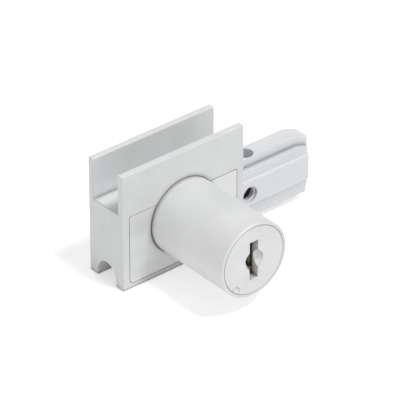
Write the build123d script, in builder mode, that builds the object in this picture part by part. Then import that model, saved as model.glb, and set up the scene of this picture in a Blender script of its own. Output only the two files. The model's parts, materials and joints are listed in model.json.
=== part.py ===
from build123d import *
import math
import os

os.makedirs("parts", exist_ok=True)

# Sliding door lock for a framed glass door, in millimetres.
# The origin is the middle of the seat that the edge of the glass stands on.
# +X runs along the door towards the tongue, -Y is the key side and +Z is up.

# Glass saddle
glass_thickness = 8.0
glass_clearance = 0.27
plate_thickness = 1.69
plate_height = 10.1
saddle_length = 33.7
block_height = 18.95
arch_width = 6.2
arch_leg_height = 1.6
edge_break = 0.15

# Cover plate let into the front of the block
cover_thickness = 0.8
cover_gap = 0.08
cover_side_margin = 1.75
cover_top_margin = 0.45
cover_bottom_margin = 1.24
cover_corner_radius = 1.0
cover_stud_radius = 0.8
cover_stud_length = 1.5
cover_stud_inset = 3.2

# Cylinder housing
housing_radius = 9.0
housing_length = 23.3
housing_height_above_foot = 13.1
housing_seat_gap = 0.05
rim_width = 0.78
housing_back_wall = 3.2
housing_collar_radius = 7.05
housing_step_depth = 12.1
spigot_radius = 4.8
spigot_gap = 0.05

# Running fits, radial
slide_fit = 0.05
end_play = 0.05

# Barrel that is pushed in to lock
stroke = 8.5
barrel_web = 2.4
barrel_end_gap = 0.3
core_bore_radius = 5.65
wafer_groove_depth = 0.8

# Core that the key turns
key_turn = 90.0
face_thickness = 1.6
key_slot_width = 2.3
key_slot_height = 9.4
key_slot_depth = 9.9
key_dimple_radius = 2.5
key_dimple_depth = 1.92
core_groove_setback = 1.2
core_groove_width = 1.3
core_groove_cut = 0.7
core_groove_spare_angle = 1.5
core_tail_gap = 0.2
core_yoke_gap = 0.6
mark_radius = 0.97
mark_inset = 0.37
mark_angle = 230.0
mark_gap = 0.04

# Wafers, each with its window so many steps above or below the middle
wafer_count = 5
wafer_pitch = 1.5
first_wafer_depth = 2.6
wafer_thickness = 0.8
wafer_width = 4.8
wafer_gap = 0.05
wafer_window_width = 2.6
wafer_window_height = 6.2
wafer_step = 0.35
wafer_cuts = (0, 2, -1, 1, 0)
wafer_arm_length = 1.4
wafer_arm_height = 1.1
wafer_spring_radius = 0.4
wafer_spring_length = 2.2

# Locking stud and its drive pin
stud_radius = 1.2
stud_reach = 1.1
stud_lift = 1.2
stud_setback = 1.5
stud_top_gap = 0.2
drive_pin_radius = 0.6
drive_pin_play = 0.04
yoke_width = 4.6
yoke_thickness = 1.6
yoke_rail = 1.2
yoke_bridge = 0.9
stud_wire = 0.35
stud_coil_radius = 0.85
stud_coil_turns = 2.5
stud_coil_seat_gap = 0.1

# Wire of the springs: its many flats stand for a round one, and the gaps are measured at points
wire_flat_count = 8
gap_points = 200

# Bolt and its spring
bolt_radius = 3.0
bolt_nose_radius = 2.75
bolt_nose_chamfer = 0.6
bolt_sink = 0.3
bolt_shoulder_stand = 0.3
bolt_thread_radius = 2.0
thread_gap = 0.05
bush_wall = 0.85
bush_length = 4.0
washer_thickness = 0.5
wire_diameter = 0.9
coil_radius = 4.0
coil_turns = 3.25
coil_seat_gap = 0.05
spring_room = 0.55
spring_seat_depth = 2.5

# Guide screw that holds the housing and guides the bolt
guide_screw_radius = 1.5
guide_tip_radius = 0.75
guide_groove_width = 1.7
guide_groove_cut = 0.85
guide_tip_gap = 0.1
screw_socket_radius = 0.85
screw_socket_depth = 1.6
screw_sink = 0.1

# Tongue that slides into the bottom rail of the door
tongue_length = 22.15
tongue_face_setback = 1.15
tongue_foot_rise = 1.8
tongue_rib_width = 4.5
tongue_rib_height = 2.14
tongue_ledge_width = 1.3
tongue_wall_height = 2.45
tongue_step = 0.35
tongue_face_height = 6.4
tongue_keel_height = 3.86
tongue_lip = 0.4
tongue_keel_taper = 0.65
nose_ramp_length = 3.85
nose_ramp_drop = 1.3
nose_corner_length = 1.4
nose_corner_width = 1.9
tenon_length = 7.0
tenon_width = 4.4
tenon_top_inset = 2.2
tenon_floor = 2.2
tenon_gap = 0.05
peg_hole_radius = 1.95
peg_hole_depth = 5.0
peg_hole_offset = 5.3
clamp_hole_radius = 2.0
clamp_hole_offset = 3.8
clamp_hole_height = 8.5
clamp_screw_length = 4.5
clamp_screw_sink = 2.3
tongue_screw_radius = 1.25
tongue_screw_head_radius = 2.2
tongue_screw_angle = 90.0
tongue_screw_grip = 5.0
tongue_screw_inset = 3.5

# Places that follow from the sizes
slot_width = glass_thickness + glass_clearance
half_length = saddle_length / 2
half_thickness = slot_width / 2 + plate_thickness
foot_z = -block_height
axis_z = foot_z + housing_height_above_foot
arch_radius = arch_width / 2
arch_roof_z = foot_z + arch_leg_height + arch_radius
face_y = -half_thickness - housing_length
seat_depth = housing_length + cover_thickness
rear_depth = housing_length + 2 * half_thickness
front_bore_radius = housing_radius - rim_width
collar_floor_depth = seat_depth - housing_back_wall
head_radius = front_bore_radius - slide_fit
neck_radius = housing_collar_radius - slide_fit
barrel_front_depth = face_thickness + end_play
barrel_step_depth = housing_step_depth - 2 * end_play
barrel_end_depth = collar_floor_depth - barrel_end_gap
core_radius = core_bore_radius - slide_fit
core_groove_depth = housing_step_depth - core_groove_setback
stud_depth = housing_step_depth + stud_setback
core_length = stud_depth - yoke_thickness / 2 - core_yoke_gap
core_room_depth = stud_depth + stud_radius + stud_top_gap
web_back_depth = core_room_depth + barrel_web
spring_room_radius = coil_radius + wire_diameter / 2 + spring_room
spring_seat = collar_floor_depth + spring_seat_depth
bolt_bore_radius = bolt_radius + slide_fit
bush_radius = bolt_bore_radius + bush_wall
bolt_shoulder_depth = rear_depth + bolt_shoulder_stand
bolt_end_depth = rear_depth + stroke - bolt_sink

# Half section through the cylinder axis: x is the depth behind the face, y is the radius.
half_section = Plane(origin=(0, face_y, axis_z), x_dir=(0, 1, 0), z_dir=(1, 0, 0))
cylinder_axis = Axis((0, face_y, axis_z), (0, 1, 0))
front_plane = Plane.XZ.offset(half_thickness)
end_plane = Plane.YZ.offset(half_length)
roof_plane = Plane(origin=(0, 0, arch_roof_z), x_dir=(1, 0, 0), z_dir=(0, 0, -1))


def across(depth):
    """Plane square to the cylinder axis, a depth behind the lock's face, X right and Z up."""
    return Plane(origin=(0, face_y + depth, axis_z), x_dir=(1, 0, 0), z_dir=(0, -1, 0))


def finish(piece, name):
    """Label a finished piece and write its file."""
    piece.part.label = name
    export_step(piece.part, f"parts/{name}.step")


def coil(plane, radius, length, turns, wire):
    """Spring of one unbroken wire that rises from a plane, its quarter turns swept on tangent arcs."""
    quarters = round(4 * turns)
    rise = length / quarters
    slope = rise / (radius * math.pi / 2)

    def point(step):
        angle = step * math.pi / 2
        local = Vector(radius * math.cos(angle), radius * math.sin(angle), step * rise)
        return plane.from_local_coords(local)

    def heading(step):
        angle = step * math.pi / 2
        local = Vector(-math.sin(angle), math.cos(angle), slope).normalized()
        return plane.from_local_coords(local) - plane.origin

    with BuildPart() as spring:
        with BuildLine() as path:
            for step in range(quarters):
                start, end = point(step), point(step + 1)
                start_heading, end_heading = heading(step), heading(step + 1)
                gap = end - start
                headings = start_heading + end_heading
                # Reach along both headings that makes the two arcs meet in one direction.
                a = headings.dot(headings) - 4
                b = -2 * gap.dot(headings)
                c = gap.dot(gap)
                reach = (-b - math.sqrt(b * b - 4 * a * c)) / (2 * a)
                near = start + start_heading * reach
                far = end - end_heading * reach
                middle = (near + far) * 0.5
                TangentArc(start, middle, tangent=start_heading)
                TangentArc(middle, end, tangent=far - near)
        with BuildSketch(Plane(origin=point(0), z_dir=heading(0))):
            RegularPolygon(wire / 2, wire_flat_count)
        sweep()
    line = path.wire()
    points = [line.position_at(i / gap_points) for i in range(gap_points + 1)]
    half_turn = round(gap_points / turns / 2)
    nearest = min(
        (point - other).length
        for number, point in enumerate(points)
        for other in points[number + half_turn :]
    )
    return spring, nearest - wire


# Cover plate and its recess share one outline.
cover_width = saddle_length - 2 * cover_side_margin
cover_height = block_height - cover_top_margin - cover_bottom_margin
cover_middle_z = foot_z + cover_bottom_margin + cover_height / 2
cover_stud_x = cover_width / 2 - cover_stud_inset


def cover_outline(gap):
    """Rectangle with square top corners and round bottom corners, less a gap all round."""
    with BuildSketch(Plane.XY, mode=Mode.PRIVATE) as outline:
        Rectangle(cover_width - 2 * gap, cover_height - 2 * gap)
        fillet(outline.vertices().group_by(Axis.Y)[0], cover_corner_radius - gap)
    return outline.sketch


# Heights of the tongue, its tenon and the screw that holds it.
tongue_height = tongue_rib_height + tongue_wall_height + tongue_step + tongue_face_height + tongue_keel_height
tongue_top_z = foot_z + tongue_foot_rise + tongue_height
tongue_ledge_z = tongue_top_z - tongue_rib_height
tenon_top_z = tongue_top_z - tenon_top_inset
tenon_bottom_z = arch_roof_z + tenon_floor
tenon_middle_z = (tenon_top_z + tenon_bottom_z) / 2
tenon_height = tenon_top_z - tenon_bottom_z
tongue_screw_x = half_length - tongue_screw_inset
tongue_screw_seat = Plane(
    origin=(tongue_screw_x, 0, arch_roof_z + screw_sink), x_dir=(1, 0, 0), z_dir=(0, 0, -1)
)

# Heights of the guide screw: it stops short of the floor of the groove in the bolt.
guide_shoulder_z = axis_z - bolt_bore_radius - guide_tip_gap
guide_tip_z = axis_z - bolt_radius + guide_groove_cut - guide_tip_gap


# Saddle: a solid block with two plates that hold the glass between them.
with BuildPart() as saddle:
    with BuildSketch(Plane.YZ.offset(-half_length)):
        with Locations((0, foot_z)):
            Rectangle(2 * half_thickness, block_height + plate_height, align=(Align.CENTER, Align.MIN))
            Rectangle(arch_width, arch_leg_height, align=(Align.CENTER, Align.MIN), mode=Mode.SUBTRACT)
        with Locations((0, foot_z + arch_leg_height)):
            Circle(arch_radius, mode=Mode.SUBTRACT)
        Rectangle(slot_width, plate_height, align=(Align.CENTER, Align.MIN), mode=Mode.SUBTRACT)
    extrude(amount=saddle_length)
    plate_tops = saddle.faces().sort_by(Axis.Z)[-2:]
    chamfer(plate_tops.edges().filter_by(Axis.X), edge_break)
    with BuildSketch(front_plane):
        with Locations((0, cover_middle_z)):
            add(cover_outline(0))
        with Locations((0, axis_z)):
            Circle(housing_radius + housing_seat_gap)
    extrude(amount=-cover_thickness, mode=Mode.SUBTRACT)
    with BuildSketch(front_plane.offset(-cover_thickness)):
        with Locations((-cover_stud_x, axis_z), (cover_stud_x, axis_z)):
            Circle(cover_stud_radius + cover_gap)
    extrude(amount=-cover_stud_length - cover_gap, mode=Mode.SUBTRACT)
    with BuildSketch(front_plane):
        with Locations((0, axis_z)):
            Circle(spigot_radius + spigot_gap)
    extrude(amount=-2 * half_thickness, mode=Mode.SUBTRACT)
    with BuildSketch(end_plane):
        with Locations((0, tenon_middle_z)):
            Rectangle(tenon_width + 2 * tenon_gap, tenon_height + 2 * tenon_gap)
    extrude(amount=-tenon_length - tenon_gap, mode=Mode.SUBTRACT)
    with BuildSketch(roof_plane.offset(arch_radius)):
        Circle(guide_screw_radius)
    extrude(amount=-arch_radius - (axis_z - arch_roof_z), mode=Mode.SUBTRACT)
    with BuildSketch(tongue_screw_seat):
        Circle(tongue_screw_head_radius + thread_gap)
    extrude(amount=arch_radius, mode=Mode.SUBTRACT)
    with Locations(tongue_screw_seat):
        CounterSinkHole(
            tongue_screw_radius + thread_gap,
            tongue_screw_head_radius + thread_gap,
            depth=tenon_floor,
            counter_sink_angle=tongue_screw_angle,
        )
finish(saddle, "saddle")


# Cover plate, pierced by the cylinder and pegged into the block by two studs.
with BuildPart() as cover_plate:
    with BuildSketch(front_plane):
        with Locations((0, cover_middle_z)):
            add(cover_outline(cover_gap))
        with Locations((0, axis_z)):
            Circle(housing_radius + housing_seat_gap + cover_gap, mode=Mode.SUBTRACT)
    extrude(amount=-cover_thickness)
    with BuildSketch(front_plane.offset(-cover_thickness)):
        with Locations((-cover_stud_x, axis_z), (cover_stud_x, axis_z)):
            Circle(cover_stud_radius)
    extrude(amount=-cover_stud_length)
finish(cover_plate, "cover_plate")


# Housing: a tube with a thick collar behind, and a spigot that goes through the block.
with BuildPart() as cylinder_housing:
    with BuildSketch(half_section):
        with BuildLine():
            Polyline(
                (0, front_bore_radius),
                (0, housing_radius - edge_break),
                (edge_break, housing_radius),
                (seat_depth, housing_radius),
                (seat_depth, spigot_radius),
                (rear_depth, spigot_radius),
                (rear_depth, bush_radius),
                (rear_depth - bush_length, bush_radius),
                (rear_depth - bush_length, bolt_bore_radius),
                (spring_seat, bolt_bore_radius),
                (spring_seat, spring_room_radius),
                (collar_floor_depth, spring_room_radius),
                (collar_floor_depth, housing_collar_radius),
                (housing_step_depth, housing_collar_radius),
                (housing_step_depth, front_bore_radius),
                close=True,
            )
        make_face()
    revolve(axis=cylinder_axis)
    with BuildSketch(across(housing_step_depth)):
        Rectangle(
            2 * (stud_radius + slide_fit),
            neck_radius + stud_reach + stud_top_gap,
            align=(Align.CENTER, Align.MIN),
        )
    extrude(amount=-(core_room_depth - housing_step_depth), mode=Mode.SUBTRACT)
    with BuildSketch(roof_plane):
        Circle(guide_screw_radius)
    extrude(amount=-(axis_z - arch_roof_z), mode=Mode.SUBTRACT)
finish(cylinder_housing, "cylinder_housing")


# Bush pressed into the rear end of the spigot, where the bolt slides.
with BuildPart() as bolt_bush:
    with BuildSketch(across(rear_depth - bush_length)):
        Circle(bush_radius)
        Circle(bolt_bore_radius, mode=Mode.SUBTRACT)
    extrude(amount=-bush_length)
finish(bolt_bush, "bolt_bush")


# Guide screw: holds the housing in the block, and its tip keeps the bolt from turning.
with BuildPart() as guide_screw:
    with BuildSketch(Plane.XY.offset(arch_roof_z + screw_sink)):
        Circle(guide_screw_radius - thread_gap)
    extrude(amount=guide_shoulder_z - arch_roof_z - screw_sink)
    with BuildSketch(Plane.XY.offset(guide_shoulder_z)):
        Circle(guide_tip_radius)
    extrude(amount=guide_tip_z - guide_shoulder_z)
    with BuildSketch(Plane.XY.offset(arch_roof_z + screw_sink)):
        RegularPolygon(screw_socket_radius, 6)
    extrude(amount=screw_socket_depth, mode=Mode.SUBTRACT)
finish(guide_screw, "guide_screw")


# Barrel: a head that fills the front bore, and a neck behind it that fills the collar.
last_wafer_depth = first_wafer_depth + (wafer_count - 1) * wafer_pitch
core_pin_radius = core_groove_width / 2 - slide_fit
core_groove_floor = core_radius - core_groove_cut
with BuildPart() as barrel:
    with BuildSketch(half_section):
        with BuildLine():
            Polyline(
                (barrel_front_depth, core_bore_radius),
                (barrel_front_depth, head_radius),
                (barrel_step_depth, head_radius),
                (barrel_step_depth, neck_radius),
                (barrel_end_depth, neck_radius),
                (barrel_end_depth, spring_room_radius),
                (web_back_depth, spring_room_radius),
                (web_back_depth, bolt_thread_radius),
                (core_room_depth, bolt_thread_radius),
                (core_room_depth, core_bore_radius),
                close=True,
            )
        make_face()
    revolve(axis=cylinder_axis)
    with BuildSketch(across(barrel_front_depth)):
        Rectangle(wafer_width + 2 * wafer_gap, 2 * (core_bore_radius + wafer_groove_depth))
    extrude(amount=-(last_wafer_depth + wafer_thickness - barrel_front_depth), mode=Mode.SUBTRACT)
    with BuildSketch(Plane.XY.offset(axis_z)):
        with Locations((0, face_y + stud_depth)):
            Circle(stud_radius + slide_fit)
    extrude(amount=head_radius, mode=Mode.SUBTRACT)
    with BuildSketch(Plane.YZ):
        with Locations((face_y + core_groove_depth, axis_z)):
            Circle(core_pin_radius + thread_gap)
    extrude(amount=head_radius, mode=Mode.SUBTRACT)
finish(barrel, "barrel")


# Pin across the barrel that runs in the groove of the core and stops its turn.
with BuildPart() as core_pin:
    with BuildSketch(Plane.YZ.offset(core_groove_floor + slide_fit)):
        with Locations((face_y + core_groove_depth, axis_z)):
            Circle(core_pin_radius)
    extrude(amount=head_radius - edge_break - core_groove_floor - slide_fit)
finish(core_pin, "core_pin")


# Core: the round face with the key slot, a plug with slots for the wafers, and a drive pin.
drive_radius = stud_lift / (2 * math.sin(math.radians(key_turn / 2)))
drive_x = drive_radius * math.cos(math.radians(key_turn / 2))
drive_z = drive_radius * math.sin(math.radians(key_turn / 2))
wafer_height = 2 * math.sqrt((core_radius - end_play) ** 2 - (wafer_width / 2) ** 2)
wafer_arm_x = wafer_width / 2 + wafer_arm_length / 2
wafer_spring_top_z = -wafer_arm_height / 2 - wafer_gap
dimple_sphere_radius = (key_dimple_radius**2 + key_dimple_depth**2) / (2 * key_dimple_depth)
mark_centre = Vector(head_radius - mark_inset, 0).rotate(Axis.Z, mark_angle)
groove_end_angle = math.degrees(math.asin(core_pin_radius / core_groove_floor)) + core_groove_spare_angle
groove_start = math.radians(key_turn + groove_end_angle)
groove_section = Plane(
    origin=(0, face_y, axis_z),
    x_dir=(0, 1, 0),
    z_dir=(math.sin(groove_start), 0, -math.cos(groove_start)),
)
with BuildPart() as core:
    with BuildSketch(across(0)):
        Circle(head_radius)
        with Locations(mark_centre):
            Circle(mark_radius, mode=Mode.SUBTRACT)
    extrude(amount=-face_thickness)
    with BuildSketch(across(face_thickness)):
        Circle(core_radius)
    extrude(amount=-(core_length - face_thickness))
    with BuildSketch(across(0)):
        Rectangle(key_slot_width, key_slot_height)
    extrude(amount=-key_slot_depth, mode=Mode.SUBTRACT)
    with Locations((0, face_y - dimple_sphere_radius + key_dimple_depth, axis_z)):
        Sphere(dimple_sphere_radius, mode=Mode.SUBTRACT)
    for number in range(wafer_count):
        with BuildSketch(across(first_wafer_depth + number * wafer_pitch - wafer_thickness / 2 - wafer_gap)):
            Rectangle(wafer_width + 2 * wafer_gap, 2 * core_radius)
            with Locations((wafer_arm_x, wafer_arm_height)):
                Rectangle(
                    wafer_arm_length + 2 * wafer_gap,
                    wafer_arm_height + wafer_arm_height / 2 - wafer_spring_top_z + wafer_spring_length,
                    align=(Align.CENTER, Align.MAX),
                )
        extrude(amount=-wafer_thickness - 2 * wafer_gap, mode=Mode.SUBTRACT)
    with BuildSketch(groove_section):
        with Locations((core_groove_depth, core_groove_floor)):
            Rectangle(core_groove_width, core_radius, align=(Align.CENTER, Align.MIN))
    revolve(
        axis=cylinder_axis,
        revolution_arc=key_turn + 2 * groove_end_angle,
        mode=Mode.SUBTRACT,
    )
    with BuildSketch(across(core_length)):
        with Locations((drive_x, drive_z)):
            Circle(drive_pin_radius)
    extrude(amount=-(stud_depth + yoke_thickness / 2 + core_tail_gap - core_length))
finish(core, "core")


# Half-round pin set flush in the edge of the core's face, which marks where the key comes out.
with BuildPart() as index_pin:
    with BuildSketch(across(0)):
        with Locations(mark_centre):
            Circle(mark_radius - mark_gap)
        Circle(head_radius, mode=Mode.INTERSECT)
    extrude(amount=-face_thickness)
finish(index_pin, "index_pin")


# Wafers, drawn into the core as the right key holds them, each with an arm for its spring.
for number in range(wafer_count):
    window_shift = wafer_cuts[number % len(wafer_cuts)] * wafer_step
    with BuildPart() as wafer:
        with BuildSketch(across(first_wafer_depth + number * wafer_pitch - wafer_thickness / 2)):
            Rectangle(wafer_width, wafer_height)
            with Locations((wafer_width / 2, 0)):
                Rectangle(wafer_arm_length, wafer_arm_height, align=(Align.MIN, Align.CENTER))
            with Locations((0, window_shift)):
                Rectangle(wafer_window_width, wafer_window_height, mode=Mode.SUBTRACT)
        extrude(amount=-wafer_thickness)
    finish(wafer, f"wafer_{number + 1}")


# Wafer springs, shown at their outer size as closed coils under the arms.
with BuildPart() as wafer_springs:
    with BuildSketch(Plane.XY.offset(axis_z + wafer_spring_top_z)):
        for number in range(wafer_count):
            with Locations((wafer_arm_x, face_y + first_wafer_depth + number * wafer_pitch)):
                RegularPolygon(wafer_spring_radius, wire_flat_count)
                RegularPolygon(wafer_spring_radius / 2, wire_flat_count, mode=Mode.SUBTRACT)
    extrude(amount=-wafer_spring_length)
finish(wafer_springs, "wafer_springs")


# Locking stud: a pin that stands in the pocket of the collar, on a yoke round the drive pin.
rail_z = drive_z - drive_pin_radius - drive_pin_play
window_top_z = drive_z + drive_pin_radius + stud_lift + drive_pin_play
window_left_x = drive_x - drive_pin_radius - drive_pin_play
window_right_x = drive_radius + drive_pin_radius + drive_pin_play
yoke_bottom_z = rail_z - yoke_rail
yoke_top_z = window_top_z + yoke_bridge
with BuildPart() as locking_stud:
    with BuildSketch(across(stud_depth - yoke_thickness / 2)):
        with Locations((0, yoke_bottom_z)):
            Rectangle(yoke_width, yoke_top_z - yoke_bottom_z, align=(Align.CENTER, Align.MIN))
        with Locations((window_left_x, rail_z)):
            Rectangle(
                window_right_x - window_left_x,
                window_top_z - rail_z,
                align=(Align.MIN, Align.MIN),
                mode=Mode.SUBTRACT,
            )
    extrude(amount=-yoke_thickness)
    with BuildSketch(Plane.XY.offset(axis_z + yoke_top_z - yoke_bridge / 2)):
        with Locations((0, face_y + stud_depth)):
            Circle(stud_radius)
    extrude(amount=neck_radius + stud_reach - yoke_top_z + yoke_bridge / 2)
finish(locking_stud, "locking_stud")


# Spring under the yoke that pushes the stud out again.
stud_coil_outer = stud_coil_radius + stud_wire / 2
stud_coil_bottom_z = stud_coil_seat_gap + stud_wire / 2 - math.sqrt(core_bore_radius**2 - stud_coil_outer**2)
stud_coil_top_z = yoke_bottom_z - stud_coil_seat_gap - stud_wire / 2
stud_coil_plane = Plane.XY.offset(axis_z + stud_coil_bottom_z).move(Location((0, face_y + stud_depth, 0)))
stud_spring, stud_spring_gap = coil(
    stud_coil_plane, stud_coil_radius, stud_coil_top_z - stud_coil_bottom_z, stud_coil_turns, stud_wire
)
finish(stud_spring, "stud_spring")


# Bolt: screwed into the web of the barrel, grooved below for the tip of the guide screw.
with BuildPart() as bolt_pin:
    with BuildSketch(across(core_room_depth + thread_gap)):
        Circle(bolt_thread_radius - thread_gap)
    extrude(amount=-(web_back_depth - core_room_depth))
    with BuildSketch(across(web_back_depth)):
        Circle(bolt_radius)
    extrude(amount=-(bolt_shoulder_depth - web_back_depth))
    with BuildSketch(across(bolt_shoulder_depth)):
        Circle(bolt_nose_radius)
    extrude(amount=-(bolt_end_depth - bolt_shoulder_depth))
    chamfer(bolt_pin.faces().sort_by(Axis.Y)[-1].edges(), bolt_nose_chamfer)
    with BuildSketch(Plane.XY.offset(axis_z - bolt_radius + guide_groove_cut)):
        with Locations((0, stroke / 2)):
            SlotCenterToCenter(stroke, guide_groove_width, rotation=90)
    extrude(amount=-bolt_radius, mode=Mode.SUBTRACT)
finish(bolt_pin, "bolt_pin")


# Washer under the return spring, against the web of the barrel.
with BuildPart() as spring_washer:
    with BuildSketch(across(web_back_depth)):
        Circle(spring_room_radius - slide_fit)
        Circle(bolt_radius + slide_fit, mode=Mode.SUBTRACT)
    extrude(amount=-washer_thickness)
finish(spring_washer, "spring_washer")


# Return spring round the bolt, pressed between the washer and the floor of the housing.
coil_start = web_back_depth + washer_thickness + coil_seat_gap + wire_diameter / 2
coil_end = spring_seat - coil_seat_gap - wire_diameter / 2
coil_plane = Plane(origin=(0, face_y + coil_start, axis_z), x_dir=(1, 0, 0), z_dir=(0, 1, 0))
return_spring, return_spring_gap = coil(
    coil_plane, coil_radius, coil_end - coil_start, coil_turns, wire_diameter
)
finish(return_spring, "return_spring")
print(f"least gap of the return spring to itself {return_spring_gap:.2f} mm")
print(f"least gap of the stud spring to itself {stud_spring_gap:.2f} mm")


# Tongue: a rib on a wider body that tapers below. Its upper part reaches further, and its nose has
# a lead-in ramp and cut corners.
body_half_width = tongue_rib_width / 2 + tongue_ledge_width
face_half_width = body_half_width + tongue_step
shoulder_z = tongue_ledge_z - tongue_wall_height
face_top_z = shoulder_z - tongue_step
lip_z = face_top_z - tongue_face_height
tongue_foot_z = foot_z + tongue_foot_rise
nose_x = half_length + tongue_length
with BuildPart() as tongue:
    with BuildSketch(end_plane):
        with BuildLine() as tongue_side:
            Polyline(
                (0, shoulder_z),
                (-body_half_width, shoulder_z),
                (-face_half_width, face_top_z),
                (-face_half_width, lip_z),
                (-face_half_width + tongue_lip, lip_z),
                (-face_half_width + tongue_lip + tongue_keel_taper, tongue_foot_z),
                (0, tongue_foot_z),
            )
            mirror(about=Plane.YZ)
        make_face()
    extrude(amount=tongue_length - tongue_face_setback)
    with BuildSketch(end_plane):
        with Locations((0, shoulder_z)):
            Rectangle(2 * body_half_width, tongue_wall_height, align=(Align.CENTER, Align.MIN))
    extrude(amount=tongue_length)
    with BuildSketch(Plane.XZ):
        with BuildLine():
            Polyline(
                (nose_x - nose_ramp_length, tongue_ledge_z),
                (nose_x, tongue_ledge_z),
                (nose_x, tongue_ledge_z - nose_ramp_drop),
                close=True,
            )
        make_face()
    extrude(amount=body_half_width, both=True, mode=Mode.SUBTRACT)
    with BuildSketch(Plane.XZ):
        with BuildLine():
            Polyline(
                (half_length, tongue_ledge_z - nose_ramp_drop),
                (half_length, tongue_top_z),
                (nose_x - nose_ramp_length, tongue_top_z),
                (nose_x, tongue_top_z - nose_ramp_drop),
                (nose_x, tongue_ledge_z - nose_ramp_drop),
                close=True,
            )
        make_face()
    extrude(amount=tongue_rib_width / 2, both=True)
    with BuildSketch(Plane.XY.offset(shoulder_z)):
        with BuildLine():
            Polyline(
                (nose_x, body_half_width - nose_corner_width),
                (nose_x, body_half_width),
                (nose_x - nose_corner_length, body_half_width),
                close=True,
            )
        make_face()
        mirror(about=Plane.XZ)
    extrude(amount=tongue_top_z - shoulder_z, mode=Mode.SUBTRACT)
    with BuildSketch(end_plane):
        with Locations((0, tenon_middle_z)):
            Rectangle(tenon_width, tenon_height)
    extrude(amount=-tenon_length)
    with BuildSketch(Plane.XY.offset(tongue_top_z)):
        with Locations((half_length + peg_hole_offset, 0)):
            Circle(peg_hole_radius)
    extrude(amount=-peg_hole_depth, mode=Mode.SUBTRACT)
    with BuildSketch(Plane.XZ):
        with Locations((half_length + clamp_hole_offset, foot_z + clamp_hole_height)):
            Circle(clamp_hole_radius)
    extrude(amount=face_half_width, both=True, mode=Mode.SUBTRACT)
    with BuildSketch(Plane.XY.offset(tenon_bottom_z)):
        with Locations((tongue_screw_x, 0)):
            Circle(tongue_screw_radius + thread_gap)
    extrude(amount=tongue_screw_grip + thread_gap, mode=Mode.SUBTRACT)
finish(tongue, "tongue")


# Countersunk screw that holds the tenon of the tongue, from the roof of the arch.
head_cone = tongue_screw_head_radius - tongue_screw_radius
with BuildPart() as tongue_screw:
    with BuildSketch(tongue_screw_seat):
        Circle(tongue_screw_head_radius)
    extrude(amount=-head_cone, taper=tongue_screw_angle / 2)
    with BuildSketch(tongue_screw_seat):
        Circle(tongue_screw_radius)
    extrude(amount=-(tenon_bottom_z + tongue_screw_grip - arch_roof_z - screw_sink))
    with BuildSketch(tongue_screw_seat):
        RegularPolygon(screw_socket_radius, 6)
    extrude(amount=-screw_socket_depth / 2, mode=Mode.SUBTRACT)
finish(tongue_screw, "tongue_screw")


# Clamp screw that grips the rail, sunk in the face of the tongue.
clamp_screw_plane = Plane(
    origin=(half_length + clamp_hole_offset, clamp_screw_sink - face_half_width, foot_z + clamp_hole_height),
    x_dir=(1, 0, 0),
    z_dir=(0, -1, 0),
)
with BuildPart() as clamp_screw:
    with BuildSketch(clamp_screw_plane):
        Circle(clamp_hole_radius - thread_gap)
        RegularPolygon(screw_socket_radius, 6, mode=Mode.SUBTRACT)
    extrude(amount=-screw_socket_depth)
    with BuildSketch(clamp_screw_plane.offset(-screw_socket_depth)):
        Circle(clamp_hole_radius - thread_gap)
    extrude(amount=-(clamp_screw_length - screw_socket_depth))
finish(clamp_screw, "clamp_screw")
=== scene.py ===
import json
import math

import bmesh
import bpy
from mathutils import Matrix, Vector

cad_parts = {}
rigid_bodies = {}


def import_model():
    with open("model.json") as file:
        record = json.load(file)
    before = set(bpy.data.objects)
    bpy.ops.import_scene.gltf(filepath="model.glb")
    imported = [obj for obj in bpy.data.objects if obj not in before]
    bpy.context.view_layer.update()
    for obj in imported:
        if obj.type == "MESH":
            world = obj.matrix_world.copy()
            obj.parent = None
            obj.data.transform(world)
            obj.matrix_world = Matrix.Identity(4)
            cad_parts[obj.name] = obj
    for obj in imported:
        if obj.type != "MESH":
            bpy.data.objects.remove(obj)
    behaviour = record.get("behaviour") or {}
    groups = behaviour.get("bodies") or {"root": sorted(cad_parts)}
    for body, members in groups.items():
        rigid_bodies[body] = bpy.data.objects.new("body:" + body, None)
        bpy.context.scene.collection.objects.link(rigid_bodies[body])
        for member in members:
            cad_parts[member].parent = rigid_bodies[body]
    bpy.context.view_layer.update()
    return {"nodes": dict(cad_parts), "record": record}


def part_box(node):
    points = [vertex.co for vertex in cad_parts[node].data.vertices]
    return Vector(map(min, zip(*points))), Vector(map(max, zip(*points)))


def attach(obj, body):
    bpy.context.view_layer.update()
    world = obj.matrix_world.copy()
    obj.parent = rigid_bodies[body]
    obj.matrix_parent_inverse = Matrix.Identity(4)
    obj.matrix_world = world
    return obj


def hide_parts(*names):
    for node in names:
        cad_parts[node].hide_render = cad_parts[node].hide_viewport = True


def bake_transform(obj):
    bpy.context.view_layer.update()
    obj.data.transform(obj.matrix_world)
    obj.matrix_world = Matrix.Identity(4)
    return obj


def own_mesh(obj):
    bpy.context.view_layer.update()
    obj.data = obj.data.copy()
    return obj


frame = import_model()

# Lengths are in metres, and written here in millimetres times MM.
MM = 0.001

# The picture is 400 pixels square, and a millimetre of the lock is 4.62 pixels wide in it. The frame's
# origin shows at origin_pixel. The camera sees from a tenth of its distance on, up to 20 times that.
picture_side = 400
pixels_per_mm = 4.62
origin_pixel = (166.7, 180.0)
view_azimuth = math.radians(-39.85)
view_elevation = math.radians(32.9)
lens = 300.0
sensor = 36.0
clip_start_share = 0.1
clip_end_share = 20

# Places taken from the frame.
bolt_low, bolt_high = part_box("bolt_pin")
axis_z = (bolt_low.z + bolt_high.z) / 2
foot_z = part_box("saddle")[0].z
tongue_face_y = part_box("tongue")[0].y
clamp_low, clamp_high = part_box("clamp_screw")

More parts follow.
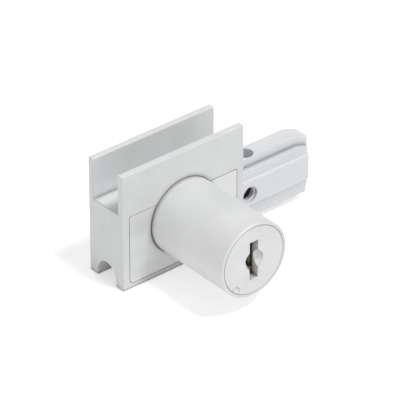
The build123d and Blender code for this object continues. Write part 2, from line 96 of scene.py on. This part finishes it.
# Colours, linear.
light_grey = (0.775, 0.785, 0.79)
satin_nickel = (0.765, 0.77, 0.775)
pale_aluminium = (0.775, 0.785, 0.80)
plated_steel = (0.60, 0.61, 0.63)
dark_steel = (0.38, 0.39, 0.41)
spring_steel = (0.44, 0.45, 0.47)
brass = (0.60, 0.47, 0.27)
white = (1.0, 1.0, 1.0, 1.0)

# Mottle is a metal's slow change and grain its fine texture. Their noises are cut off at these values.
mottle_noise = (0.3, 0.7)
grain_noise = (0.25, 0.75)

# The mottle's tones, what grain, worn edges with their painted highlight and hairlines add to them, and
# the tone left under the painted shade in seams and corners.
mottle_tone = (0.95, 1.02)
grain_tone = (-0.03, 0.03)
worn_highlight_tone = 0.06
hairline_tone = -0.07
painted_shade_tone = 0.35

# What they add to the metal's roughness, and the strength of the grain's bump.
mottle_roughness = (-0.05, 0.06)
grain_roughness = (-0.04, 0.04)
rubbed_roughness = -0.10
hairline_roughness = 0.12
bump_strength = 0.6

# Edges are worn, and given a painted highlight, within a radius, where a rounded surface would face
# another way than the true one.
# The first likeness of the two is full wear and highlight, and the second none.
worn_highlight_radius = 0.22 * MM
worn_highlight_likeness = (0.72, 0.985)

# Shade is painted within a reach of a seam or inner corner. The first share of open air is full painted
# shade, and the second none.
painted_shade_reach = 1.4 * MM
painted_shade_openness = (0.30, 0.92)

# Hairlines are the peaks of two noises that are stretched and turned, so that they cross.
hairline_runs = ((0.5, (900, 14000, 900)), (-0.9, (11000, 700, 1100)))
hairline_peaks = (0.72, 0.76)

# Edges count as sharp from this angle on. A face needs room for two rounds and a little more, or its
# edges get a smaller round, and none under the least share of it.
sharp_angle = math.radians(40)
room_for_rounding = 2.3
least_share = 0.5
round_segments = 3

# Facets are joined into flat faces, and the corners where rounds meet are joined too.
facet_merge = 0.0005 * MM
flat_angle = math.radians(0.5)
corner_merge = 0.001 * MM

# Widths of the rounds on the pieces that show.
edge_widths = {
    "saddle": 0.15 * MM,
    "cover_plate": 0.14 * MM,
    "cylinder_housing": 0.15 * MM,
    "core": 0.14 * MM,
    "index_pin": 0.10 * MM,
    "tongue": 0.18 * MM,
    "clamp_screw": 0.10 * MM,
    "barrel": 0.12 * MM,
    "bolt_pin": 0.12 * MM,
    "bolt_bush": 0.10 * MM,
    "guide_screw": 0.08 * MM,
    "tongue_screw": 0.08 * MM,
}

# The thread in the clamp screw's hole. It starts a little inside the mouth and ends just short of the
# screw, and its ridge rises over a few steps at each end.
thread_radius = 2.0 * MM
thread_depth = 0.34 * MM
thread_pitch = 0.7 * MM
thread_flank = 0.42 * thread_pitch
thread_crest = 0.07 * thread_pitch
thread_start = 0.1 * MM
thread_end = 0.02 * MM
steps_a_turn = 48
fading_steps = 10

# The floor lies a little below the feet, so that the two never share a plane. It glows only where the
# camera sees it, directly or in metal, so that it shows white with a soft shadow.
floor_reach = 3.0
floor_cells = 12
floor_gap = 0.01 * MM
floor_tone = 0.88
floor_glow = 0.45

# Strength of the light from all around. What the camera sees behind the object is white all the same.
room_level = 0.42


def make(tree, kind, inputs=None, **settings):
    """A shader node with its settings, its sockets set to values or linked to other sockets."""
    node = tree.nodes.new("ShaderNode" + kind)
    for name, value in settings.items():
        setattr(node, name, value)
    for key, value in (inputs or {}).items():
        if isinstance(value, bpy.types.NodeSocket):
            tree.links.new(value, node.inputs[key])
        else:
            node.inputs[key].default_value = value
    return node


def reckon(tree, operation, first, second):
    """A grey value worked out from two others."""
    return make(tree, "Math", {0: first, 1: second}, operation=operation).outputs[0]


def times(tree, first, second):
    """One grey value times another."""
    return reckon(tree, "MULTIPLY", first, second)


def plus(tree, first, second):
    """One grey value plus another."""
    return reckon(tree, "ADD", first, second)


def spread(tree, value, new_range, old_range=(0.0, 1.0)):
    """A value stretched from one range to another, and kept inside it."""
    inputs = {
        "Value": value,
        "From Min": old_range[0],
        "From Max": old_range[1],
        "To Min": new_range[0],
        "To Max": new_range[1],
    }
    return make(tree, "MapRange", inputs).outputs["Result"]


def own_places(tree):
    """Places on the object, in its own frame."""
    return make(tree, "TexCoord").outputs["Object"]


def stretched(tree, scale, turn=0.0):
    """Places on the object, stretched by a scale for each axis and then turned alike about each."""
    inputs = {"Vector": own_places(tree), "Rotation": (turn, turn, turn), "Scale": scale}
    return make(tree, "Mapping", inputs).outputs["Vector"]


def rings(tree, across, along):
    """Places about the cylinder's axis: x is the radius, y the length along the axis and z the angle."""
    places = make(tree, "SeparateXYZ", {"Vector": own_places(tree)}).outputs
    height = reckon(tree, "SUBTRACT", places["Z"], axis_z)
    flat = make(tree, "CombineXYZ", {"X": places["X"], "Y": height}).outputs[0]
    radius = make(tree, "VectorMath", {0: flat}, operation="LENGTH").outputs["Value"]
    angle = reckon(tree, "ARCTAN2", height, places["X"])
    turned_places = {"X": times(tree, radius, across), "Y": times(tree, places["Y"], along), "Z": angle}
    return make(tree, "CombineXYZ", turned_places).outputs[0]


def noise(tree, places, scale=1.0, detail=2.0, roughness=0.5):
    """Grey noise from 0 to 1 at some places."""
    inputs = {"Vector": places, "Scale": scale, "Detail": detail, "Roughness": roughness}
    return make(tree, "TexNoise", inputs).outputs["Fac"]


def worn_highlit_edges(tree):
    """1 on edges, which hands and tools wear and which get a painted highlight, and 0 on flat ground."""
    rounded = make(tree, "Bevel", {"Radius": worn_highlight_radius}, samples=6).outputs["Normal"]
    straight = make(tree, "NewGeometry").outputs["Normal"]
    alike = make(tree, "VectorMath", {0: rounded, 1: straight}, operation="DOT_PRODUCT").outputs["Value"]
    return spread(tree, alike, (1.0, 0.0), worn_highlight_likeness)


def painted_shade_free(tree):
    """0 deep in seams and inner corners, where shade is painted, and 1 in the open."""
    openness = make(tree, "AmbientOcclusion", {"Distance": painted_shade_reach}, samples=8).outputs["AO"]
    return spread(tree, openness, (0.0, 1.0), painted_shade_openness)


def hairlines(tree):
    """1 on sparse hairlines that run in two directions, and 0 between them."""
    runs = [noise(tree, stretched(tree, scale, turn), detail=1.0) for turn, scale in hairline_runs]
    return spread(tree, reckon(tree, "MAXIMUM", *runs), (0.0, 1.0), hairline_peaks)


def metal(name, colour, metallic, roughness, grain, mottle, bump_height):
    """A metal finish. Its grain and its mottle are each a function of the node tree."""
    material = bpy.data.materials.new(name)
    material.use_nodes = True
    tree = material.node_tree
    shader = tree.nodes["Principled BSDF"]
    shader.inputs["Metallic"].default_value = metallic
    fine = grain(tree)
    slow = mottle(tree)
    worn_highlit = worn_highlit_edges(tree)
    scratched = hairlines(tree)

    tone = spread(tree, slow, mottle_tone, mottle_noise)
    tone = plus(tree, tone, spread(tree, fine, grain_tone, grain_noise))
    # Painted highlight along with wear: edges are made lighter.
    tone = plus(tree, tone, times(tree, worn_highlit, worn_highlight_tone))
    tone = plus(tree, tone, times(tree, scratched, hairline_tone))
    # Painted shade: seams and inner corners are made darker.
    tone = times(tree, tone, spread(tree, painted_shade_free(tree), (painted_shade_tone, 1.0)))
    grey = make(tree, "CombineXYZ", {"X": tone, "Y": tone, "Z": tone}).outputs[0]
    tint = make(tree, "VectorMath", {0: grey, 1: colour}, operation="MULTIPLY").outputs["Vector"]
    tree.links.new(tint, shader.inputs["Base Color"])

    rough = spread(tree, slow, [roughness + change for change in mottle_roughness], mottle_noise)
    rough = plus(tree, rough, spread(tree, fine, grain_roughness, grain_noise))
    rough = plus(tree, rough, times(tree, worn_highlit, rubbed_roughness))
    rough = plus(tree, rough, times(tree, scratched, hairline_roughness))
    tree.links.new(rough, shader.inputs["Roughness"])

    bump = make(tree, "Bump", {"Height": fine, "Strength": bump_strength, "Distance": bump_height})
    tree.links.new(bump.outputs["Normal"], shader.inputs["Normal"])
    return material


def cast(name, colour, metallic, roughness):
    """Cast metal with a thin satin coat, a little uneven like orange peel."""
    return metal(
        name, colour, metallic, roughness,
        grain=lambda tree: noise(tree, own_places(tree), scale=2600, detail=3, roughness=0.55),
        mottle=lambda tree: noise(tree, own_places(tree), scale=130),
        bump_height=0.012 * MM,
    )


def drawn(name, colour, metallic, roughness):
    """Metal drawn or brushed along X, with long fine lines."""
    return metal(
        name, colour, metallic, roughness,
        grain=lambda tree: noise(tree, stretched(tree, scale=(60, 5200, 5200)), detail=3, roughness=0.6),
        mottle=lambda tree: noise(tree, stretched(tree, scale=(60, 260, 260))),
        bump_height=0.010 * MM,
    )


def turned(name, colour, metallic, roughness, bump_height=0.008 * MM):
    """Metal turned on a lathe about the cylinder's axis, with fine rings."""
    return metal(
        name, colour, metallic, roughness,
        grain=lambda tree: noise(tree, rings(tree, across=5200, along=5200), detail=3, roughness=0.6),
        mottle=lambda tree: noise(tree, rings(tree, across=180, along=160)),
        bump_height=bump_height,
    )


finishes = {
    "saddle_metal": cast("satin_light_grey", light_grey, metallic=0.0, roughness=0.44),
    "cover_metal": drawn("brushed_cover", satin_nickel, metallic=0.35, roughness=0.40),
    "cylinder_metal": turned("satin_nickel", satin_nickel, metallic=0.20, roughness=0.46),
    "face_metal": turned("turned_nickel", satin_nickel, metallic=0.25, roughness=0.42),
    "tongue_metal": drawn("drawn_aluminium", pale_aluminium, metallic=0.10, roughness=0.42),
    "bolt_steel": turned(
        "ground_steel", plated_steel, metallic=1.0, roughness=0.28, bump_height=0.003 * MM,
    ),
    "pin_steel": turned("pin_steel", plated_steel, metallic=1.0, roughness=0.32),
    "screw_steel": turned("plated_screw", dark_steel, metallic=1.0, roughness=0.38),
    "spring_steel": turned("spring_wire", spring_steel, metallic=1.0, roughness=0.34),
    "bush_brass": turned("turned_brass", brass, metallic=1.0, roughness=0.34),
    "wafer_brass": cast("stamped_brass", brass, metallic=1.0, roughness=0.40),
}
slot_of = {row["node"]: row["material_slot"] for row in frame["record"]["subparts"]}


def paint(piece, slot):
    """Gives a piece the finish of one of the record's material slots."""
    piece.data.materials.clear()
    piece.data.materials.append(finishes[slot])


def body_of(node):
    """The body that carries a CAD node."""
    return frame["nodes"][node].parent.name.removeprefix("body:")


def new_piece(name, mesh, slot):
    """A new piece that takes the finish of a material slot."""
    piece = bpy.data.objects.new(name, mesh)
    bpy.context.scene.collection.objects.link(piece)
    paint(piece, slot)
    return piece


def mark_edges(work, width):
    """Weighs the sharp outer edges of a mesh for rounding, by the room that their faces leave."""
    weight = work.edges.layers.float.new("bevel_weight_edge")
    for edge in work.edges:
        if len(edge.link_faces) == 2 and edge.calc_face_angle_signed() > sharp_angle:
            room = min(face.calc_area() for face in edge.link_faces) / edge.calc_length()
            share = room / (room_for_rounding * width)
            edge[weight] = min(1.0, share) if share > least_share else 0.0


def soften(node, width):
    """Stands a copy in for a CAD node, with its sharp outer edges broken by a small round."""
    mesh = frame["nodes"][node].data.copy()
    work = bmesh.new()
    work.from_mesh(mesh)
    bmesh.ops.remove_doubles(work, verts=work.verts, dist=facet_merge)
    bmesh.ops.dissolve_limit(work, angle_limit=flat_angle, verts=work.verts, edges=work.edges)
    mark_edges(work, width)
    work.to_mesh(mesh)
    work.free()
    if "custom_normal" in mesh.attributes:
        mesh.attributes.remove(mesh.attributes["custom_normal"])
    mesh.shade_smooth()
    mesh.set_sharp_from_angle(angle=sharp_angle)
    piece = new_piece(node + "_finished", mesh, slot_of[node])
    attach(piece, body_of(node))
    rounding = piece.modifiers.new("rounded_edges", "BEVEL")
    rounding.limit_method = "WEIGHT"
    rounding.width = width
    rounding.segments = round_segments
    rounding.use_clamp_overlap = False
    rounding.loop_slide = False
    rounding.harden_normals = True
    joined = piece.modifiers.new("joined_corners", "WELD")
    joined.merge_threshold = corner_merge
    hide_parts(node)


def thread(name, centre, start_y, end_y, body, slot):
    """A screw thread inside a hole along Y, as one ridge that winds from the mouth inwards."""
    turns = (end_y - start_y - 2 * thread_flank) / thread_pitch
    steps = round(turns * steps_a_turn)
    work = bmesh.new()
    rows = []
    for step in range(steps + 1):
        turn = step / steps_a_turn
        angle = turn * 2 * math.pi
        middle_y = start_y + thread_flank + turn * thread_pitch
        fullness = min(1.0, (step + 1) / fading_steps, (steps - step + 1) / fading_steps)
        crest_radius = thread_radius - thread_depth * fullness
        section = (
            (thread_radius, -thread_flank),
            (crest_radius, -thread_crest),
            (crest_radius, thread_crest),
            (thread_radius, thread_flank),
        )
        row = []
        for radius, shift in section:
            x = centre.x + radius * math.cos(angle)
            z = centre.z + radius * math.sin(angle)
            row.append(work.verts.new((x, middle_y + shift, z)))
        rows.append(row)
    for row, following in zip(rows, rows[1:]):
        for side in range(len(row)):
            other = (side + 1) % len(row)
            work.faces.new((row[side], row[other], following[other], following[side]))
    work.faces.new(rows[0])
    work.faces.new(reversed(rows[-1]))
    bmesh.ops.recalc_face_normals(work, faces=work.faces)
    mesh = bpy.data.meshes.new(name)
    work.to_mesh(mesh)
    work.free()
    mesh.shade_smooth()
    mesh.set_sharp_from_angle(angle=sharp_angle)
    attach(new_piece(name, mesh, slot), body)


def spring_copy(node):
    """A copy of a spring that stands in for it."""
    spring = new_piece(node + "_live", frame["nodes"][node].data.copy(), slot_of[node])
    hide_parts(node)
    return spring


def seen_rays(tree):
    """1 for rays of the camera and those that gloss or glass sends on, and 0 for light on the object."""
    path = make(tree, "LightPath").outputs
    seen = reckon(tree, "MAXIMUM", path["Is Camera Ray"], path["Is Glossy Ray"])
    return reckon(tree, "MAXIMUM", seen, path["Is Transmission Ray"])


def floor():
    """A pale floor that shows white where it is lit and keeps the shadow."""
    work = bmesh.new()
    bmesh.ops.create_grid(work, x_segments=floor_cells, y_segments=floor_cells, size=floor_reach)
    mesh = bpy.data.meshes.new("floor")
    work.to_mesh(mesh)
    work.free()
    ground = bpy.data.objects.new("floor", mesh)
    ground.location.z = foot_z - floor_gap
    bpy.context.scene.collection.objects.link(ground)
    material = bpy.data.materials.new("pale_floor")
    material.use_nodes = True
    tree = material.node_tree
    tree.nodes.remove(tree.nodes["Principled BSDF"])
    strength = times(tree, seen_rays(tree), floor_glow)
    matt = make(tree, "BsdfDiffuse", {"Color": (floor_tone, floor_tone, floor_tone, 1.0)})
    glow = make(tree, "Emission", {"Color": white, "Strength": strength})
    both = make(tree, "AddShader", {0: matt.outputs[0], 1: glow.outputs[0]})
    tree.links.new(both.outputs[0], tree.nodes["Material Output"].inputs["Surface"])
    mesh.materials.append(material)


def world(level):
    """White behind everything, and a plain grey level of light on the object."""
    room = bpy.data.worlds.new("room")
    bpy.context.scene.world = room
    room.use_nodes = True
    tree = room.node_tree
    background = tree.nodes["Background"]
    background.inputs["Color"].default_value = white
    tree.links.new(spread(tree, seen_rays(tree), (level, 1.0)), background.inputs["Strength"])


def lamp(name, towards, strength, softness):
    """A far soft lamp that shines from a direction, as wide as its softness in degrees."""
    light = bpy.data.lights.new(name, "SUN")
    light.energy = strength
    light.angle = math.radians(softness)
    lit = bpy.data.objects.new(name, light)
    lit.rotation_euler = Vector(towards).to_track_quat("Z", "Y").to_euler()
    bpy.context.scene.collection.objects.link(lit)


def camera():
    """The picture's camera: a long lens, between the two views that the drawing is put together from."""
    back = Vector((
        math.sin(view_azimuth) * math.cos(view_elevation),
        -math.cos(view_azimuth) * math.cos(view_elevation),
        math.sin(view_elevation),
    ))
    right = Vector((math.cos(view_azimuth), math.sin(view_azimuth), 0.0))
    up = back.cross(right)
    aside = (picture_side / 2 - origin_pixel[0]) / pixels_per_mm * MM
    below = (picture_side / 2 - origin_pixel[1]) / pixels_per_mm * MM
    away = picture_side / pixels_per_mm * MM * lens / sensor
    data = bpy.data.cameras.new("camera")
    data.lens = lens
    data.sensor_width = sensor
    data.clip_start = away * clip_start_share
    data.clip_end = away * clip_end_share
    viewer = bpy.data.objects.new("camera", data)
    viewer.location = right * aside - up * below + back * away
    viewer.rotation_mode = "QUATERNION"
    viewer.rotation_quaternion = back.to_track_quat("Z", "Y")
    bpy.context.scene.collection.objects.link(viewer)
    bpy.context.scene.camera = viewer


# Every CAD node gets its finish, and those that show get softer edges too.
for node, slot in slot_of.items():
    paint(frame["nodes"][node], slot)
for node, width in edge_widths.items():
    soften(node, width)

# Thread in the hole of the clamp screw, from the face of the tongue to the screw.
thread(
    "clamp_hole_thread",
    centre=(clamp_low + clamp_high) / 2,
    start_y=tongue_face_y + thread_start,
    end_y=clamp_low.y - thread_end,
    body="lock_body",
    slot="tongue_metal",
)

# The spring under the yoke of the locking stud shortens as the key turns, and its upper end rides. Its
# copy rides with the spring's body and gets a mesh of its own.
stud_spring = spring_copy("stud_spring")
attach(stud_spring, body_of("stud_spring"))
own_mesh(stud_spring)

# The return spring lengthens between the barrel, which it pushes out, and the housing. Its copy has its
# place baked into its mesh.
return_spring = spring_copy("return_spring")
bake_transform(return_spring)

# Floor, light and camera.
floor()
world(room_level)
lamp("key_lamp", towards=(0.20, -0.42, 0.95), strength=1.64, softness=16)
lamp("fill_lamp", towards=(-0.80, -0.30, 0.35), strength=0.32, softness=40)
lamp("back_lamp", towards=(0.10, 0.95, 0.20), strength=0.26, softness=60)
camera()
bpy.context.scene.view_settings.view_transform = "Standard"
